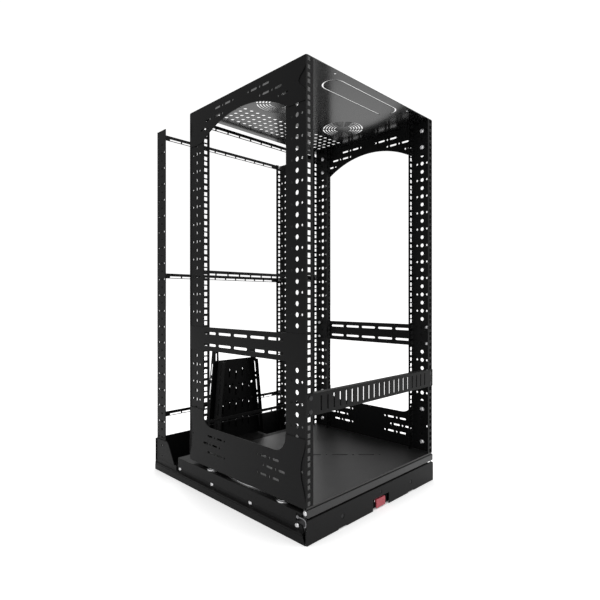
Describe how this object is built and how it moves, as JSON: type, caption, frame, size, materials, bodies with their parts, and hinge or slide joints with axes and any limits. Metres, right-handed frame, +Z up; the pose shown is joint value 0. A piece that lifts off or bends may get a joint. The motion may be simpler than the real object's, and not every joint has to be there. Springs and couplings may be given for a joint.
{
  "type": "pull-out rotating equipment rack",
  "caption": "Open 19-inch equipment rack that slides out on ball-bearing slides and turns on a ring, over a low floor base with rear uprights.",
  "frame": {"origin": "on the floor under the middle of the base, with the carriage shut and the rack facing forwards", "axes": "+X to the right, the front plate faces -Y, +Z up"},
  "size_m": [0.4866, 0.603, 0.9633],
  "materials": {
    "black_steel": "semi-gloss black powder coat on sheet steel",
    "black_front": "semi-gloss black powder coat, front trim",
    "zinc": "bright zinc plate",
    "race_steel": "ground steel",
    "bolt_zinc": "bright zinc-plated fasteners",
    "bolt_black": "black oxide fasteners",
    "red_plastic": "moulded red nylon"
  },
  "bodies": {
    "base": {"base_tray": "black_steel", "rear_upright_left": "black_steel", "rear_upright_right": "black_steel", "rear_bar_top": "black_steel", "rear_bar_middle": "black_steel", "rear_bar_low": "black_steel", "rear_bar_screws": "bolt_zinc", "slide_outer_left": "zinc", "slide_outer_right": "zinc", "slide_screws_left": "bolt_zinc", "slide_screws_right": "bolt_zinc", "upright_bolts": "bolt_zinc", "latch_strike": "zinc"},
    "slide_middle": {"slide_mid_left": "zinc", "slide_mid_right": "zinc", "ball_cages_left": "zinc", "ball_cages_right": "zinc"},
    "carriage": {"carriage_tray": "black_steel", "slide_inner_left": "zinc", "slide_inner_right": "zinc", "front_rail": "black_front", "front_plate": "black_front", "lower_race": "race_steel", "glide_pads": "zinc", "latch_housing": "black_steel", "latch_pin": "bolt_zinc", "latch_spring": "bolt_zinc", "corner_bolts": "bolt_zinc", "front_screws": "bolt_black", "lever_pins": "bolt_zinc"},
    "turn_lever_left": {"turn_lever_left": "zinc"},
    "turn_lever_right": {"turn_lever_right": "zinc"},
    "latch": {"latch_paddle": "red_plastic"},
    "rack": {"upper_race": "race_steel", "race_balls": "race_steel", "floor_plate": "black_steel", "post_front_left": "black_steel", "post_front_right": "black_steel", "post_rear_left": "black_steel", "post_rear_right": "black_steel", "side_top_left": "black_steel", "side_top_right": "black_steel", "side_bottom_left": "black_steel", "side_bottom_right": "black_steel", "mid_brace_left": "black_steel", "mid_brace_right": "black_steel", "top_plate": "black_steel", "rack_bar_top": "black_steel", "rack_bar_middle": "black_steel", "rack_bar_low": "black_steel", "rack_bar_screws": "bolt_zinc", "rack_bolts_left": "bolt_zinc", "rack_bolts_right": "bolt_zinc", "vent_panel": "black_front", "panel_screws": "bolt_black", "cage_nuts": "zinc", "cable_shelf": "black_steel", "cable_arm_inner": "black_steel", "arm_hinge_pin": "bolt_zinc"},
    "cable_arm": {"cable_arm_outer": "black_steel"}
  },
  "joints": [
    {"name": "slide_middle_travel", "type": "slide", "parent": "base", "child": "slide_middle", "axis": [0, -1, 0], "range_m": [0, 0.225]},
    {"name": "carriage_travel", "type": "slide", "parent": "base", "child": "carriage", "axis": [0, -1, 0], "range_m": [0, 0.45]},
    {"name": "rack_turn", "type": "hinge", "parent": "carriage", "child": "rack", "pos_m": [0, -0.089, 0.0657], "axis": [0, 0, 1], "range_deg": [-90, 90]},
    {"name": "latch_pull", "type": "hinge", "parent": "carriage", "child": "latch", "pos_m": [0.0055, -0.2945, 0.019], "axis": [-1, 0, 0], "range_deg": [0, 18], "stiffness_Nm_per_rad": 0.05, "springref_deg": -11.46},
    {"name": "left_turn_lever", "type": "hinge", "parent": "carriage", "child": "turn_lever_left", "pos_m": [-0.2412, -0.275, 0.05], "axis": [1, 0, 0], "range_deg": [0, 8], "stiffness_Nm_per_rad": 0.05, "springref_deg": -11.46},
    {"name": "right_turn_lever", "type": "hinge", "parent": "carriage", "child": "turn_lever_right", "pos_m": [0.2412, -0.275, 0.05], "axis": [1, 0, 0], "range_deg": [0, 8], "stiffness_Nm_per_rad": 0.05, "springref_deg": -11.46},
    {"name": "cable_arm_swing", "type": "hinge", "parent": "rack", "child": "cable_arm", "pos_m": [0.052, 0.201, 0.12], "axis": [0, 0, -1], "range_deg": [0, 15]}
  ],
  "couplings": [
    {"joint": "slide_middle_travel", "follows": "carriage_travel", "ratio": 0.5}
  ]
}
